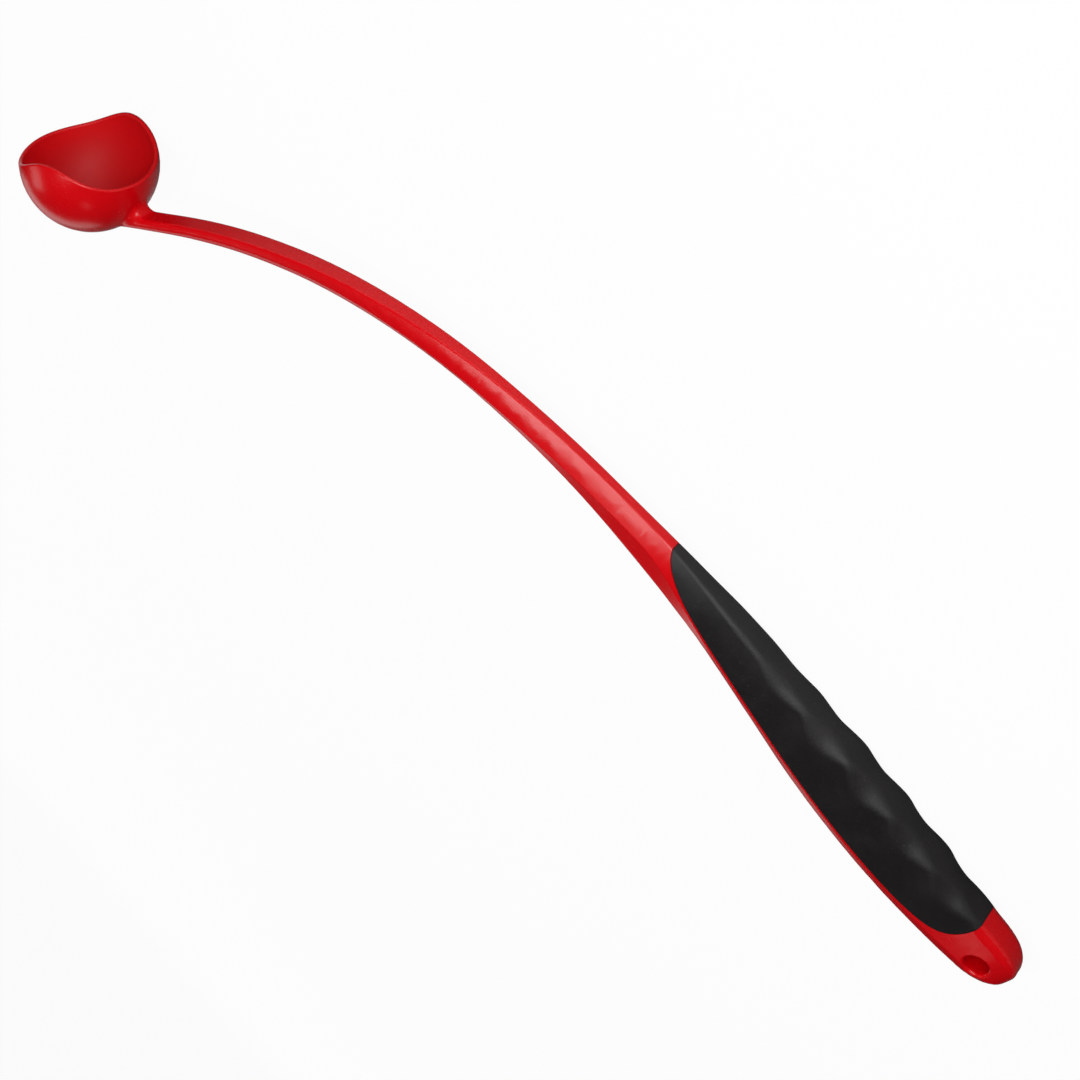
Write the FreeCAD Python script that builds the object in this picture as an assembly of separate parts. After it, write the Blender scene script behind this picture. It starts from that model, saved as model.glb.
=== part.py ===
import FreeCAD, Part
import math
import os

# A stick that picks up and throws a dog's ball. A long bowed arm joins an open
# ball cup to a deep handle, and the handle carries a soft grip with finger waves.
# The stick is drawn in its own side view: X runs from the cup towards the
# handle, Y towards the side that the cup opens to, and Z across the stick.
# It is laid on its side on the ground at the end. Sizes are in millimetres
# and angles in degrees.

# Ball cup
ball_diameter = 65.0
ball_play = 0.8
cup_wall = 2.2
rim_height_at_nose = 2.5
rim_height_at_arm = 0.8
ear_height = 12.6
ear_centre = 4.0
ear_half_length = 36.0
rim_rounding = 0.9
seam_turn = -90.0

# Middle line of the arm and the handle: each stretch has a length and a bend
# radius, where a positive radius bends towards the back of the stick.
root_angle = -45.0
root_heading = 14.4
root_lead_in = 9.0
root_blend_radius = 5.0
straight = 0.0
root_length = 40.0
upper_bend_length = 100.0
upper_bend_radius = 274.0
middle_bend_length = 93.0
middle_bend_radius = 371.0
lower_bend_length = 135.0
lower_bend_radius = 409.0
handle_straight_length = 117.0
heel_bend_length = 95.0
heel_bend_radius = -1040.0
heel_length = 60.0

# Butt, measured along the middle line
butt_start = 588.0
butt_length = 24.5
butt_squareness = 2.6
butt_rings = 6

# Grip, measured along the middle line
grip_tip = 345.0
grip_end = 578.5
skin_thickness = 2.6
skin_border_rounding = 0.4
first_finger_dip = 427.3
finger_pitch = 32.2
finger_dips = 5
first_dip_share = 0.55
finger_depth = 0.3
finger_spread = 1.6
finger_edge_rounding = 5.6
crest_sharpness = 0.75

# Shell under the skin, which plugs into the handle
carrier_wall = 2.0
tongue_depth = 3.0
fit_gap = 0.2
carrier_inset_at_tip = 12.0
carrier_solid_tip = 42.0

# Pegs of the shell and their sockets in the handle
peg_radius = 2.2
peg_end_height = -9.0
socket_end_gap = 1.0
boss_radius = 4.4
boss_height = -2.0
boss_places = [415.0, 465.0, 515.0, 560.0]

# Ribs across the hollow handle
rib_thickness = 1.8
rib_places = [390.0, 440.0, 490.0, 538.0]

# Hang hole, side to side through the butt
hang_hole_place = 595.0
hang_hole_height = -0.5
hang_hole_radius = 6.3
hang_hole_rounding = 1.4

# How the stick lies on the ground
lay_down_yaw = 23.6
lay_down_tilt = 2.0
lay_down_roll = 11.4

# Each flank is crowned: the tangents at its two edges meet this share of the
# flank's height outside it.
crown_share = 0.12
largest_crown = 1.0

# The rounding of the back is a share of the back's half width, and an inner form
# keeps a small rounding at every corner.
back_rounding_share = 0.38
least_rounding = 0.3

# How the curves are drawn
rim_steps = 12
butt_last_ring = 0.998
rings_per_finger = 4
arm_ring_gap = 20.0
loft_degree = 2
same_place = 0.01
near_rim = 0.2

# Extents that only have to be large enough to cut right through
past_everything = 60.0
cutter_margin = 1.0
past_the_end = 4.0

ball_radius = ball_diameter / 2
cup_bore_radius = ball_radius + ball_play
cup_outer_radius = cup_bore_radius + cup_wall

across = FreeCAD.Vector(0, 0, 1)


def station(along, front, back, crease, face, wide, heel, edge, flank):
    """One cross-section of the stick, square to its middle line.

    front and back are the heights of the front face and of the back above and
    below the middle line, and crease is the height of the widest line. face,
    wide and heel are the half widths of the front face, of the widest line and
    of the back. edge and flank are the rounding radii of the front edges and
    of the widest line.
    """
    return along, (front, back, crease, face, wide, heel, edge, flank)


stations = [
    station(-10, front=3.4, back=3.0, crease=0.3, face=4.9, wide=6.4, heel=5.2, edge=1.8, flank=2.4),
    station(20, front=3.3, back=2.9, crease=0.2, face=4.9, wide=6.5, heel=5.3, edge=1.8, flank=2.4),
    station(60, front=2.7, back=4.3, crease=-0.6, face=5.0, wide=6.5, heel=5.2, edge=1.8, flank=2.4),
    station(100, front=3.0, back=4.8, crease=-0.9, face=5.0, wide=6.4, heel=5.1, edge=1.8, flank=2.4),
    station(150, front=4.9, back=4.6, crease=-0.9, face=4.6, wide=6.3, heel=5.0, edge=1.7, flank=1.8),
    station(203, front=6.3, back=5.4, crease=-2.4, face=3.6, wide=6.3, heel=4.9, edge=1.4, flank=1.0),
    station(255, front=6.6, back=7.6, crease=-3.2, face=2.6, wide=6.6, heel=5.1, edge=1.2, flank=0.8),
    station(300, front=7.4, back=9.7, crease=-1.6, face=2.5, wide=7.1, heel=5.5, edge=1.2, flank=0.8),
    station(325, front=8.6, back=10.9, crease=0.4, face=2.5, wide=7.5, heel=5.9, edge=1.3, flank=0.8),
    station(345, front=10.6, back=11.4, crease=1.2, face=2.8, wide=8.0, heel=6.3, edge=1.8, flank=0.8),
    station(366, front=12.6, back=11.2, crease=-1.6, face=4.2, wide=8.9, heel=6.7, edge=2.4, flank=0.9),
    station(392, front=15.3, back=11.0, crease=-5.4, face=6.4, wide=10.0, heel=7.4, edge=3.2, flank=1.0),
    station(430, front=17.9, back=13.8, crease=-8.7, face=8.2, wide=11.7, heel=8.6, edge=4.4, flank=1.2),
    station(470, front=20.8, back=17.8, crease=-11.3, face=9.4, wide=12.5, heel=9.4, edge=4.6, flank=1.4),
    station(510, front=21.7, back=19.0, crease=-12.6, face=9.9, wide=12.6, heel=9.6, edge=4.6, flank=1.5),
    station(545, front=20.6, back=18.2, crease=-11.4, face=9.9, wide=12.4, heel=9.4, edge=4.6, flank=2.2),
    station(588, front=17.4, back=14.4, crease=-7.0, face=8.9, wide=11.6, heel=8.8, edge=4.8, flank=4.0),
    station(640, front=15.0, back=5.5, crease=-2.0, face=7.6, wide=11.0, heel=8.0, edge=4.6, flank=4.0),
]

# The upper edge of the handle moulding, where the grip starts: places along the
# middle line and heights above it, from the grip's tip to the butt.
grip_seam = [
    (339.0, 24.0), (345.0, 12.5), (350.5, 7.0), (358.0, 2.9), (368.0, -0.6), (384.0, -3.6),
    (404.0, -5.6), (430.0, -7.6), (458.0, -9.7), (490.0, -11.2), (522.0, -11.3), (548.0, -9.8),
    (561.0, -7.4), (570.5, -2.8), (575.5, 4.0), (578.0, 13.0), (578.8, 26.0),
]


def middle_line(along):
    """Point and heading, in radians, of the middle line at a distance from the cup."""
    start_radius = cup_outer_radius - cup_wall / 2
    point = FreeCAD.Vector(
        start_radius * math.cos(math.radians(root_angle)),
        start_radius * math.sin(math.radians(root_angle)),
        0,
    )
    heading = math.radians(root_heading)
    stretches = [
        (root_length, straight),
        (upper_bend_length, upper_bend_radius),
        (middle_bend_length, middle_bend_radius),
        (lower_bend_length, lower_bend_radius),
        (handle_straight_length, straight),
        (heel_bend_length, heel_bend_radius),
        (heel_length, straight),
    ]
    left = along
    for number, (length, radius) in enumerate(stretches):
        last = number == len(stretches) - 1
        step = left if last or left < length else length
        turn = -step / radius if radius else 0.0
        half = heading + turn / 2
        chord = step * (math.sin(turn / 2) / (turn / 2) if turn else 1.0)
        point = point + FreeCAD.Vector(math.cos(half), math.sin(half), 0) * chord
        heading += turn
        left -= step
        if left <= 0 and not last:
            break
    return point, heading


def at_height(along, height):
    """Point of the side view at a height above the middle line."""
    point, heading = middle_line(along)
    return point + FreeCAD.Vector(-math.sin(heading), math.cos(heading), 0) * height


def eased(low, high, share):
    """Value between low and high that leaves and arrives level."""
    return low + (high - low) * share * share * (3 - 2 * share)


def slope(number, item):
    """Rate of change of one size of the stations at one station."""
    before = stations[max(number - 1, 0)]
    after = stations[min(number + 1, len(stations) - 1)]
    return (after[1][item] - before[1][item]) / (after[0] - before[0])


def sizes_at(along):
    """All sizes of the cross-section at one place, by smooth curves through the stations."""
    number = 0
    while number < len(stations) - 2 and along > stations[number + 1][0]:
        number += 1
    start, low = stations[number]
    end, high = stations[number + 1]
    span = end - start
    share = (along - start) / span
    bend = share * (1 - share) * span
    return [
        eased(low[item], high[item], share)
        + bend * ((1 - share) * slope(number, item) - share * slope(number + 1, item))
        for item in range(len(low))
    ]


def finger_wave(along):
    """How far into a finger dip a place is: 0 on the crests, 1 at the bottom."""
    first = first_finger_dip - finger_pitch / 2
    last = first + finger_dips * finger_pitch
    if along <= first or along >= last:
        return 0.0
    wave = (1 - math.cos(2 * math.pi * (along - first) / finger_pitch)) / 2
    in_first_dip = along < first + finger_pitch
    return (first_dip_share if in_first_dip else 1.0) * wave ** crest_sharpness


def butt_scale(along):
    """Share of the full section that is left in the rounded butt."""
    reach = max(0.0, (along - butt_start) / butt_length)
    return (1 - min(reach, 1.0) ** butt_squareness) ** (1 / butt_squareness)


def section_wire(along, inset):
    """Closed outline of the stick at one place, moved inwards by an inset."""
    front, back, crease, face, wide, heel, edge, flank = sizes_at(along)
    crown = min(crown_share * (front - crease), largest_crown)
    shoulder = ((front + crease) / 2, (face + wide) / 2 + crown)
    if inset:
        # The forms under the skin are plain, level with the bottoms of the finger dips.
        front -= finger_depth
    else:
        dip = finger_wave(along)
        front -= finger_depth * dip
        face += finger_spread * dip
        edge += finger_edge_rounding * dip
    # A corner with no rounding is the point where a crowned flank's tangents meet.
    half = [(front, face, edge), (*shoulder, 0.0), (crease, wide, flank), (-back, heel, back_rounding_share * heel)]
    mirrored = [(height, -side, radius) for height, side, radius in reversed(half)]
    scale = butt_scale(along)
    corners = [(height * scale, side * scale, radius * scale) for height, side, radius in half + mirrored]
    point, heading = middle_line(along)
    upwards = FreeCAD.Vector(-math.sin(heading), math.cos(heading), 0)
    spots = [point + upwards * height + across * side for height, side, radius in corners]
    arcs = []
    sides = []
    for number, spot in enumerate(spots):
        to_last = (spots[number - 1] - spot).normalize()
        to_next = (spots[(number + 1) % len(spots)] - spot).normalize()
        half_angle = to_last.getAngle(to_next) / 2
        inward = (to_last + to_next).normalize()
        moved = spot + inward * (inset / math.sin(half_angle))
        if corners[number][2] == 0:
            sides[-1].append(moved)
            continue
        radius = max(corners[number][2] - inset, least_rounding)
        tangent_length = radius / math.tan(half_angle)
        nearest = moved + inward * (radius / math.sin(half_angle) - radius)
        arcs.append((moved + to_last * tangent_length, nearest, moved + to_next * tangent_length))
        sides.append([arcs[-1][-1]])
    edges = []
    for number, (start, nearest, end) in enumerate(arcs):
        edges.append(Part.Arc(start, nearest, end).toShape())
        side = Part.BezierCurve()
        side.setPoles(sides[number] + [arcs[(number + 1) % len(arcs)][0]])
        edges.append(side.toShape())
    return Part.Wire(edges)


def places_between(start, end, step):
    """Places of the cross-sections: wide apart on the arm and a step apart on the handle."""
    places = [start]
    handle_start = first_finger_dip - step * math.floor((first_finger_dip - max(start, grip_tip)) / step)
    arm_rings = math.floor((handle_start - start) / arm_ring_gap)
    places += [start + (handle_start - start) * ring / (arm_rings + 1) for ring in range(1, arm_rings + 1)]
    along = handle_start
    while along < end - step / 2:
        if along > start + step / 2:
            places.append(along)
        along += step
    return places + [end]


def butt_places():
    """Places of the cross-sections in the rounded butt, closer towards its end."""
    angles = [90.0 * step / butt_rings for step in range(1, butt_rings)]
    places = [butt_start + butt_length * math.sin(math.radians(angle)) for angle in angles]
    return places + [butt_start + butt_last_ring * butt_length]


def stick_solid(start, end, inset, with_butt=False):
    """Solid that follows the stick from one place to another."""
    step = finger_pitch if inset else finger_pitch / rings_per_finger
    places = places_between(start, end, step)
    if with_butt:
        places += butt_places()
    wires = [section_wire(along, inset) for along in places]
    return Part.makeLoft(wires, True, False, False, loft_degree)


def side_view_prism(outline):
    """Solid of a side-view outline, right through the stick."""
    face = Part.Face(Part.Wire(outline))
    face.translate(across * -past_everything)
    return face.extrude(across * (2 * past_everything))


def grip_zone(drop, end_gap=0.0):
    """Solid of the side view above the seam, lowered by a drop and shortened by a gap."""
    seam_points = [at_height(along - end_gap, height - drop) for along, height in grip_seam]
    seam = Part.BSplineCurve()
    seam.interpolate(seam_points)
    above_end = at_height(grip_seam[-1][0] - end_gap, past_everything)
    above_tip = at_height(grip_seam[0][0] - end_gap, past_everything)
    outline = [
        seam.toShape(),
        Part.LineSegment(seam_points[-1], above_end).toShape(),
        Part.LineSegment(above_end, above_tip).toShape(),
        Part.LineSegment(above_tip, seam_points[0]).toShape(),
    ]
    return side_view_prism(outline)


def rim_height(along):
    """Height of the cup's rim above the middle of the ball, seen from the side."""
    share = (along / cup_outer_radius + 1) / 2
    base = rim_height_at_nose + (rim_height_at_arm - rim_height_at_nose) * share
    reach = min(abs(along - ear_centre) / ear_half_length, 1.0)
    return base + ear_height * math.cos(reach * math.pi / 2) ** 2


def above_rim():
    """Everything that the cup's opening removes."""
    reach = cup_outer_radius + cutter_margin
    points = []
    for step in range(rim_steps + 1):
        along = -reach + 2 * reach * step / rim_steps
        points.append(FreeCAD.Vector(along, rim_height(along), 0))
    rim = Part.BSplineCurve()
    rim.interpolate(points)
    top_right = FreeCAD.Vector(reach, past_everything, 0)
    top_left = FreeCAD.Vector(-reach, past_everything, 0)
    outline = [
        rim.toShape(),
        Part.LineSegment(points[-1], top_right).toShape(),
        Part.LineSegment(top_right, top_left).toShape(),
        Part.LineSegment(top_left, points[0]).toShape(),
    ]
    return side_view_prism(outline)


def ball(radius):
    """Ball about the middle of the cup, with its seam up the nose."""
    opening_side = FreeCAD.Vector(0, 1, 0)
    sphere = Part.makeSphere(radius, FreeCAD.Vector(0, 0, 0), opening_side)
    sphere.rotate(FreeCAD.Vector(0, 0, 0), opening_side, seam_turn)
    return sphere


def cup():
    """Spherical cup with a raised ear on each side that holds the ball."""
    return ball(cup_outer_radius).cut(ball(cup_bore_radius)).cut(above_rim())


def hang_hole():
    """Tool for the side-to-side hole in the butt."""
    middle = at_height(hang_hole_place, hang_hole_height)
    return Part.makeCylinder(hang_hole_radius, 2 * past_everything, middle - across * past_everything, across)


def slab(along, thickness):
    """Thin slab across the stick, square to its middle line."""
    point, heading = middle_line(along)
    block = Part.makeBox(thickness, 2 * past_everything, 2 * past_everything)
    block.translate(FreeCAD.Vector(-thickness / 2, -past_everything, -past_everything))
    block.rotate(FreeCAD.Vector(0, 0, 0), across, math.degrees(heading))
    block.translate(point)
    return block


def post(along, low, high, radius):
    """Round post that stands square to the middle line."""
    foot = at_height(along, low)
    top = at_height(along, high)
    return Part.makeCylinder(radius, high - low, foot, top - foot)


def at_root(edge):
    """True for an edge where the arm meets the outside of the cup."""
    if edge.Degenerated or edge.CenterOfMass.x < 0:
        return False
    on_cup = all(abs(spot.Length - cup_outer_radius) < same_place for spot in edge.discretize(5))
    return on_cup and not at_rim(edge)


def at_rim(edge):
    """True for an edge of the cup's rim."""
    if edge.Degenerated:
        return False
    return all(abs(spot.y - rim_height(spot.x)) < near_rim for spot in edge.discretize(5))


def at_hole(edge):
    """True for an edge round either mouth of the hang hole."""
    middle = at_height(hang_hole_place, hang_hole_height)
    if edge.Degenerated or edge.Length < hang_hole_radius:
        return False
    return all(
        abs(math.hypot(spot.x - middle.x, spot.y - middle.y) - hang_hole_radius) < same_place
        and abs(spot.z) > hang_hole_radius
        for spot in edge.discretize(5)
    )


def solid_form():
    """Cup, arm, handle and butt as one full form, blended and rounded, with the hang hole."""
    envelope = stick_solid(-root_lead_in, butt_start, 0.0, with_butt=True)
    arm = envelope.cut(ball(cup_bore_radius)).cut(hang_hole())
    whole = arm.fuse(cup()).removeSplitter()
    whole = whole.makeFillet(root_blend_radius, [edge for edge in whole.Edges if at_root(edge)])
    whole = whole.makeFillet(rim_rounding, [edge for edge in whole.Edges if at_rim(edge)])
    return whole.makeFillet(hang_hole_rounding, [edge for edge in whole.Edges if at_hole(edge)])


def rib(along):
    """Rib across the hollow handle, up to the tongue of the shell."""
    return slab(along, rib_thickness).cut(grip_zone(tongue_depth + fit_gap))


def socket(along):
    """Round boss with the hole that takes a peg of the shell."""
    boss = post(along, -past_everything / 2, boss_height, boss_radius)
    return boss.cut(post(along, peg_end_height - socket_end_gap, boss_height, peg_radius + fit_gap))


def hollow():
    """The space inside the handle, where the ribs and the peg sockets are left standing."""
    trough = stick_solid(grip_tip + carrier_inset_at_tip - fit_gap, grip_end, skin_thickness - fit_gap)
    return trough.cut([rib(along) for along in rib_places] + [socket(along) for along in boss_places])


def launcher_body():
    """The one moulding of cup, arm, hollow handle and butt."""
    return solid_form().cut([grip_zone(0.0), hollow()])


def under_skin():
    """The form that the skin fits over."""
    return stick_solid(grip_tip + carrier_inset_at_tip, grip_end + past_the_end, skin_thickness)


def grip_carrier():
    """Stiff shell that stiffens the skin and plugs into the handle."""
    hollow_start = grip_tip + carrier_inset_at_tip + carrier_solid_tip
    inner = stick_solid(hollow_start, grip_end + past_the_end, skin_thickness + carrier_wall)
    outer = under_skin().common(grip_zone(tongue_depth, fit_gap))
    shell = outer.cut(inner)
    pegs = [post(along, peg_end_height, past_everything / 2, peg_radius).common(outer) for along in boss_places]
    return shell.fuse(pegs)


def grip_skin():
    """Soft cover of the grip with its finger waves and its border rounded."""
    outer = stick_solid(-root_lead_in, butt_start, 0.0, with_butt=True)
    cover = outer.common(grip_zone(0.0))
    seam_faces = [face for face in cover.Faces if face.Surface.isDerivedFrom("Part::GeomSurfaceOfExtrusion")]
    border = [edge for face in seam_faces for edge in face.Edges]
    return cover.makeFillet(skin_border_rounding, border).cut(under_skin())


def laid_down(shape):
    """The shape turned from its side view to how it lies on the ground."""
    yaw = FreeCAD.Rotation(FreeCAD.Vector(0, 0, 1), lay_down_yaw)
    tilt = FreeCAD.Rotation(FreeCAD.Vector(0, 1, 0), lay_down_tilt)
    roll = FreeCAD.Rotation(FreeCAD.Vector(1, 0, 0), -lay_down_roll)
    turned = shape.copy()
    turned.Placement = FreeCAD.Placement(FreeCAD.Vector(0, 0, 0), tilt.multiply(roll).multiply(yaw))
    return turned


os.makedirs("parts", exist_ok=True)
parts = {
    "launcher_body": launcher_body(),
    "grip_carrier": grip_carrier(),
    "grip_skin": grip_skin(),
}
for name, shape in parts.items():
    placed = laid_down(shape.Solids[0])
    placed.exportStep("parts/" + name + ".step")
    print(name, "solids", len(placed.Solids), "faces", len(placed.Faces), "valid", placed.isValid(),
          "volume", round(placed.Volume, 1))
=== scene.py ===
import math

import bpy
from mathutils import Matrix, Vector


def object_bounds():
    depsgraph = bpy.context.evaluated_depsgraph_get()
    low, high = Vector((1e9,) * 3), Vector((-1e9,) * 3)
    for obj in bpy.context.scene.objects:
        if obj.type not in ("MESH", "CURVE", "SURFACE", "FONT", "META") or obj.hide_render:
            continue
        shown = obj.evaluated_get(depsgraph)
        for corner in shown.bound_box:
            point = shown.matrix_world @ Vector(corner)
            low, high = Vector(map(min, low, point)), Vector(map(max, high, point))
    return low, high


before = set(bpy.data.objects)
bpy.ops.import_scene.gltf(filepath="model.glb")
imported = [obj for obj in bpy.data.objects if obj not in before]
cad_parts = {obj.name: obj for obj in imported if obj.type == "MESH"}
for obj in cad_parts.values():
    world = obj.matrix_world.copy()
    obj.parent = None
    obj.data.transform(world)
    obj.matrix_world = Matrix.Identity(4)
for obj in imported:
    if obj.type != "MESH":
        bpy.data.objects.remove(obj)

# A red moulded ball stick with a black rubber grip, lying on its side on a white table.
# Lengths are in metres, angles in degrees.

cad_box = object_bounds()

# How the stick lies: the same three turns that lay it on the ground.
lay_down_yaw = 23.6
lay_down_tilt = 2.0
lay_down_roll = 11.4

# Everything nearer to the middle of the ball than this is the inside of the cup.
cup_bore_edge = 0.0338

# The table top is level with the lowest point of the stick.
table_height = cad_box[0][2]
table_size = 8.0

# How far the camera sees the table as plain white: the rest shows the stick's shadow.
table_lift = 0.95

# The painted reflection of bright table by the cup ends along a slanted line, past which the table is
# painted dark as shade: along to across.
cup_shadow_slant = 0.35

white = (1.0, 1.0, 1.0, 1.0)

# The camera, in the stick's own side view: along the stick, towards the open side
# of the cup, and across.
camera_place = Vector((0.6815, 0.5405, 0.6206))
camera_right = Vector((0.827, 0.029, -0.5615))
camera_up = Vector((-0.390, 0.749, -0.536))
picture_width_px = 1080
focal_length_px = 2000
sensor_width = 36.0

# The point that the lamps face
lamps_aim = (0.28, 0.0, 0.0)

# Brightness of the room, for what it lights and for what is reflected
room_light = 0.184
room_in_reflections = 0.008


def turned(degrees, axis):
    """Turn about one axis."""
    return Matrix.Rotation(math.radians(degrees), 3, axis)


lay_down = turned(lay_down_tilt, "Y") @ turned(-lay_down_roll, "X") @ turned(lay_down_yaw, "Z")


class Value:
    """A socket that can be used in sums, which adds the Math nodes for them."""

    def __init__(self, finish, socket):
        self.finish = finish
        self.socket = socket

    def join(self, operation, first, second):
        node = self.finish.node("ShaderNodeMath", {"operation": operation}, {0: first, 1: second})
        return Value(self.finish, node.outputs[0])

    def __add__(self, other):
        return self.join("ADD", self, other)

    def __radd__(self, other):
        return self.join("ADD", other, self)

    def __sub__(self, other):
        return self.join("SUBTRACT", self, other)

    def __rsub__(self, other):
        return self.join("SUBTRACT", other, self)

    def below(self, limit):
        """1 where this is less than the limit, else 0."""
        return self.join("LESS_THAN", self, limit)

    def __mul__(self, other):
        return self.join("MULTIPLY", self, other)

    def __rmul__(self, other):
        return self.join("MULTIPLY", other, self)


class Finish:
    """A surface finish made of nodes."""

    def __init__(self, name):
        self.material = bpy.data.materials.new(name)
        self.material.use_nodes = True
        self.tree = self.material.node_tree
        self.tree.nodes.clear()
        self.place = self.node("ShaderNodeTexCoord", {}, {}).outputs["Object"]

    def node(self, kind, settings, values):
        """One node, with its settings and then the values or links of its sockets."""
        made = self.tree.nodes.new(kind)
        for name, setting in settings.items():
            if name == "stops":
                for number, (position, shade) in enumerate(setting):
                    stops = made.color_ramp.elements
                    stop = stops[number] if number < len(stops) else stops.new(position)
                    stop.position = position
                    stop.color = (shade, shade, shade, 1.0)
            else:
                setattr(made, name, setting)
        for name, value in values.items():
            socket = made.inputs[name]
            if isinstance(value, Value):
                value = value.socket
            if isinstance(value, bpy.types.NodeSocket):
                self.tree.links.new(value, socket)
            else:
                socket.default_value = value
        return made

    def noise(self, scale, detail, roughness=0.5, stretch=None):
        """Cloudy pattern from 0 to 1, at a number of clouds to the metre."""
        place = self.place
        if stretch:
            place = self.node("ShaderNodeMapping", {}, {"Vector": place, "Scale": stretch}).outputs[0]
        sockets = {"Vector": place, "Scale": scale, "Detail": detail, "Roughness": roughness}
        return Value(self, self.node("ShaderNodeTexNoise", {}, sockets).outputs[0])

    def ramp(self, value, stops):
        """The value passed through grey stops."""
        made = self.node("ShaderNodeValToRGB", {"stops": stops}, {0: value})
        return Value(self, made.outputs[0])

    def edge(self, value, start, end):
        """Goes from 0 to 1 while the value goes from the start to the end."""
        return self.ramp((1.0 / (end - start)) * (value - start), [(0.0, 0.0), (1.0, 1.0)])

    def blend(self, share, first, second):
        """Mix of two colours."""
        sockets = {0: share, 6: first, 7: second}
        made = self.node("ShaderNodeMix", {"data_type": "RGBA"}, sockets)
        return made.outputs[2]

    def bump(self, height, strength, distance):
        """Surface normal that follows a height."""
        sockets = {"Height": height, "Strength": strength, "Distance": distance}
        return self.node("ShaderNodeBump", {}, sockets).outputs[0]

    def finish_with(self, shader):
        """Ends the material in a shader."""
        self.node("ShaderNodeOutputMaterial", {}, {"Surface": shader.outputs[0]})
        return self.material


def rgb(red, green, blue):
    """Display colour from 0 to 255 as a linear colour."""
    def linear(level):
        level /= 255
        return level / 12.92 if level <= 0.04045 else ((level + 0.055) / 1.055) ** 2.4
    return (linear(red), linear(green), linear(blue), 1.0)


def red_moulding():
    """Glossy moulded plastic: deep red, faint flow marks, fine scuffs and a slight orange peel."""
    red = Finish("red_gloss_plastic")
    cloud = red.noise(scale=9.0, detail=2.0)
    flow = red.noise(scale=45.0, detail=3.0, stretch=(0.25, 1.0, 1.0))
    streaks = red.noise(scale=900.0, detail=2.0, stretch=(0.12, 1.0, 1.0))
    scuffs = red.ramp(streaks, [(0.60, 0.0), (0.72, 1.0)])
    patches = red.ramp(red.noise(scale=30.0, detail=4.0, roughness=0.6), [(0.45, 0.0), (0.75, 1.0)])
    wear = scuffs * patches
    colour = red.blend(0.45 * cloud + 0.35 * flow, rgb(222, 0, 14), rgb(206, 0, 8))
    colour = red.blend(0.18 * wear, colour, rgb(236, 40, 48))
    orange_peel = red.noise(scale=300.0, detail=1.0)
    height = orange_peel + 0.3 * red.noise(scale=2600.0, detail=1.0) - 0.8 * wear
    from_ball_middle = red.node("ShaderNodeVectorMath", {"operation": "LENGTH"}, {0: red.place})
    in_cup = Value(red, from_ball_middle.outputs["Value"]).below(cup_bore_edge)
    shader = red.node("ShaderNodeBsdfPrincipled", {}, {
        "Base Color": colour,
        "Roughness": 0.23 + 0.04 * cloud + 0.14 * wear + 0.30 * in_cup,
        "Normal": red.bump(height, 0.035, 0.0004),
        "IOR": 1.49,
        "Specular IOR Level": 0.42,
    })
    return red.finish_with(shader)


def grip_rubber():
    """Soft matte rubber: near black, with a fine moulded grain, faint bloom and small specks."""
    rubber = Finish("grip_rubber")
    cloud = rubber.noise(scale=18.0, detail=3.0)
    bloom = rubber.ramp(rubber.noise(scale=55.0, detail=5.0, roughness=0.6), [(0.42, 0.0), (0.72, 1.0)])
    grain = rubber.noise(scale=2400.0, detail=2.0, roughness=0.7)
    fine = rubber.noise(scale=6500.0, detail=1.0)
    specks = rubber.ramp(rubber.noise(scale=1300.0, detail=0.0), [(0.80, 0.0), (0.84, 1.0)])
    colour = rubber.blend(cloud, rgb(20, 17, 18), rgb(26, 23, 24))
    colour = rubber.blend(0.16 * bloom, colour, rgb(48, 45, 46))
    colour = rubber.blend(0.35 * specks, colour, rgb(84, 80, 80))
    shader = rubber.node("ShaderNodeBsdfPrincipled", {}, {
        "Base Color": colour,
        "Roughness": 0.44 + 0.08 * cloud + 0.10 * bloom,
        "Normal": rubber.bump(grain + 0.6 * fine, 0.22, 0.0003),
        "IOR": 1.5,
        "Specular IOR Level": 0.5,
    })
    return rubber.finish_with(shader)


def shell_plastic():
    """Plain dark plastic of the hidden shell under the rubber."""
    plastic = Finish("shell_plastic")
    cloud = plastic.noise(scale=60.0, detail=3.0)
    shader = plastic.node("ShaderNodeBsdfPrincipled", {}, {
        "Base Color": plastic.blend(cloud, rgb(52, 52, 54), rgb(64, 64, 66)),
        "Roughness": 0.42 + 0.12 * cloud,
        "Normal": plastic.bump(plastic.noise(scale=900.0, detail=2.0), 0.1, 0.0003),
    })
    return plastic.finish_with(shader)


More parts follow.
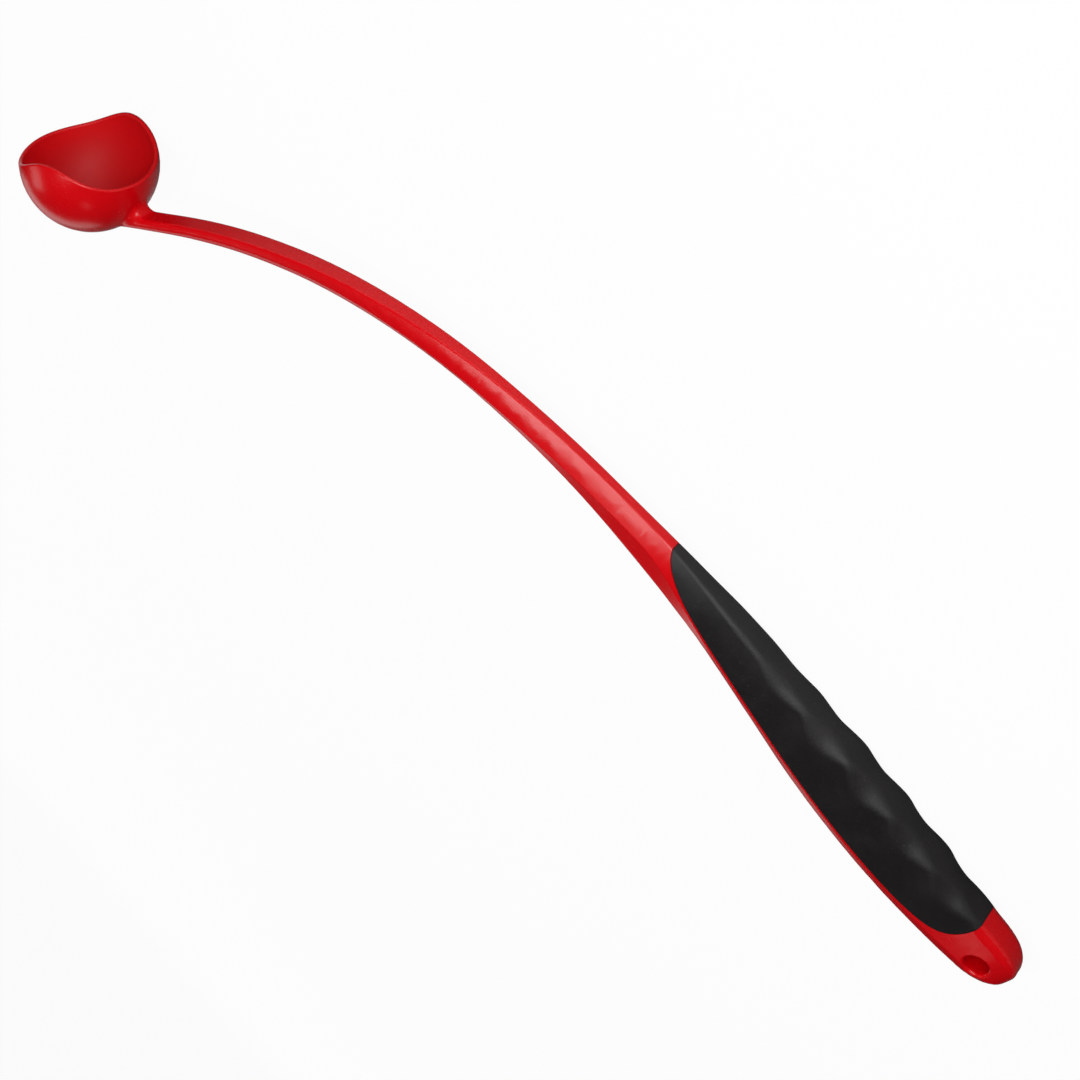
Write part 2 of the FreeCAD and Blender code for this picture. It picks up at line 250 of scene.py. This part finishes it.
def white_table_top():
    """White table: the stick's own shadow shows on it. To all rays but the camera's it is mostly grey
    and throws little light back, with painted light on its far side and a painted reflection on its
    near side by the cup.
    """
    table = Finish("white_table")
    cloud = table.noise(scale=3.0, detail=2.0)
    path = table.node("ShaderNodeLightPath", {}, {})
    seen = Value(table, path.outputs["Is Camera Ray"])
    reflected = Value(table, path.outputs["Is Glossy Ray"])
    paper = table.blend(cloud, rgb(246, 246, 246), rgb(250, 250, 250))
    place = table.node("ShaderNodeSeparateXYZ", {}, {0: table.place}).outputs
    along = Value(table, place["X"])
    across = Value(table, place["Y"])
    # Painted light: the table is brighter on the stick's far side, for bounce light and reflections
    # alike.
    painted_light_far_side = table.edge(across, start=0.02, end=0.10)
    # Painted reflection: on the near side by the cup the table is bright only in reflections; past the
    # slanted line it is painted dark as shade.
    painted_reflection_near_side = table.edge(across, start=0.01, end=-0.05)
    painted_reflection_by_cup = table.edge(along - cup_shadow_slant * across, start=0.075, end=0.05)
    # The painted light and painted reflection zones together.
    painted_bright_zones = painted_light_far_side + painted_reflection_near_side * painted_reflection_by_cup * reflected
    painted_light_table_colour = table.blend(painted_bright_zones, rgb(120, 120, 120), rgb(238, 238, 238))
    # White paper to the camera; grey with the painted light and painted reflection zones to all other
    # rays.
    paper = table.blend(seen, painted_light_table_colour, paper)
    surface = table.node("ShaderNodeBsdfDiffuse", {}, {"Color": paper})
    glow = table.node("ShaderNodeEmission", {}, {"Color": white, "Strength": 1.0})
    lifted = {0: table_lift * seen, 1: surface.outputs[0], 2: glow.outputs[0]}
    return table.finish_with(table.node("ShaderNodeMixShader", {}, lifted))


def table():
    """The table top that the stick lies on."""
    half = table_size / 2
    mesh = bpy.data.meshes.new("table")
    corners = [(-half, -half, 0), (half, -half, 0), (half, half, 0), (-half, half, 0)]
    mesh.from_pydata(corners, [], [(0, 1, 2, 3)])
    top = bpy.data.objects.new("table", mesh)
    bpy.context.scene.collection.objects.link(top)
    top.location = (0.0, 0.0, table_height)
    mesh.materials.append(white_table_top())


def turned_to(right, up):
    """Turn that points local X to the right and local Y nearly up."""
    back = right.cross(up).normalized()
    return Matrix((right, back.cross(right), back)).transposed().to_4x4()


def softbox(name, towards, long_side, distance, length, width, power):
    """Soft lamp that faces the stick, with its place and its long side given in the side view."""
    data = bpy.data.lights.new(name, "AREA")
    data.shape = "RECTANGLE"
    data.size = length
    data.size_y = width
    data.energy = power
    lamp = bpy.data.objects.new(name, data)
    bpy.context.scene.collection.objects.link(lamp)
    back = (lay_down @ Vector(towards)).normalized()
    up = back.cross(lay_down @ Vector(long_side)).normalized()
    place = Vector(lamps_aim) + back * distance
    lamp.matrix_world = Matrix.Translation(place) @ turned_to(up.cross(back), up)


def studio():
    """Softboxes on the far side, on the near side and beyond the cup, and a low screen."""
    softbox(
        "lamp_far_side", towards=(0.249, 0.502, 0.828), long_side=(0.71, 0.475, -0.502),
        distance=1.21, length=1.6, width=0.3, power=11.8,
    )
    softbox(
        "lamp_far_low", towards=(0.279, 0.919, 0.275), long_side=(-0.957, 0.29, 0.0),
        distance=1.3, length=0.95, width=0.2, power=2.6,
    )
    softbox(
        "lamp_near_side", towards=(0.22, -0.68, 0.7), long_side=(1.0, 0.0, 0.0),
        distance=1.25, length=0.14, width=0.26, power=0.15,
    )
    softbox(
        "low_screen", towards=(-0.66, -0.75, 0.041), long_side=(0.75, -0.66, 0.0),
        distance=1.33, length=1.5, width=0.46, power=2.1,
    )
    softbox(
        "lamp_beyond_cup", towards=(-0.813, -0.14, 0.54), long_side=(0.0, 1.0, 0.0),
        distance=1.1, length=0.36, width=0.32, power=0.62,
    )


def room():
    """Dim room: white to the camera, dim as a light and nearly dark in reflections."""
    world = bpy.data.worlds.new("room")
    bpy.context.scene.world = world
    world.use_nodes = True
    tree = world.node_tree
    tree.nodes.clear()
    path = tree.nodes.new("ShaderNodeLightPath")
    level = tree.nodes.new("ShaderNodeMapRange")
    level.inputs["To Min"].default_value = room_light
    level.inputs["To Max"].default_value = room_in_reflections
    glow = tree.nodes.new("ShaderNodeBackground")
    glow.inputs["Color"].default_value = white
    out = tree.nodes.new("ShaderNodeOutputWorld")
    tree.links.new(path.outputs["Is Glossy Ray"], level.inputs["Value"])
    seen = tree.nodes.new("ShaderNodeMath")
    seen.operation = "MAXIMUM"
    tree.links.new(path.outputs["Is Camera Ray"], seen.inputs[0])
    tree.links.new(level.outputs[0], seen.inputs[1])
    tree.links.new(seen.outputs[0], glow.inputs["Strength"])
    tree.links.new(glow.outputs[0], out.inputs[0])


def camera():
    """Camera at the picture's viewing angle."""
    data = bpy.data.cameras.new("camera")
    data.sensor_width = sensor_width
    data.lens = sensor_width * focal_length_px / picture_width_px
    view = bpy.data.objects.new("camera", data)
    bpy.context.scene.collection.objects.link(view)
    turn = turned_to((lay_down @ camera_right).normalized(), lay_down @ camera_up)
    view.matrix_world = Matrix.Translation(lay_down @ camera_place) @ turn
    bpy.context.scene.camera = view


def dress(node, finish):
    """Gives a piece its finish."""
    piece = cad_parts[node]
    piece.data.materials.clear()
    piece.data.materials.append(finish)
    evened = piece.modifiers.new("even_normals", "WEIGHTED_NORMAL")
    evened.keep_sharp = True


camera()
studio()
room()
table()
dress("launcher_body", red_moulding())
dress("grip_skin", grip_rubber())
dress("grip_carrier", shell_plastic())

scene = bpy.context.scene
scene.view_settings.view_transform = "Standard"
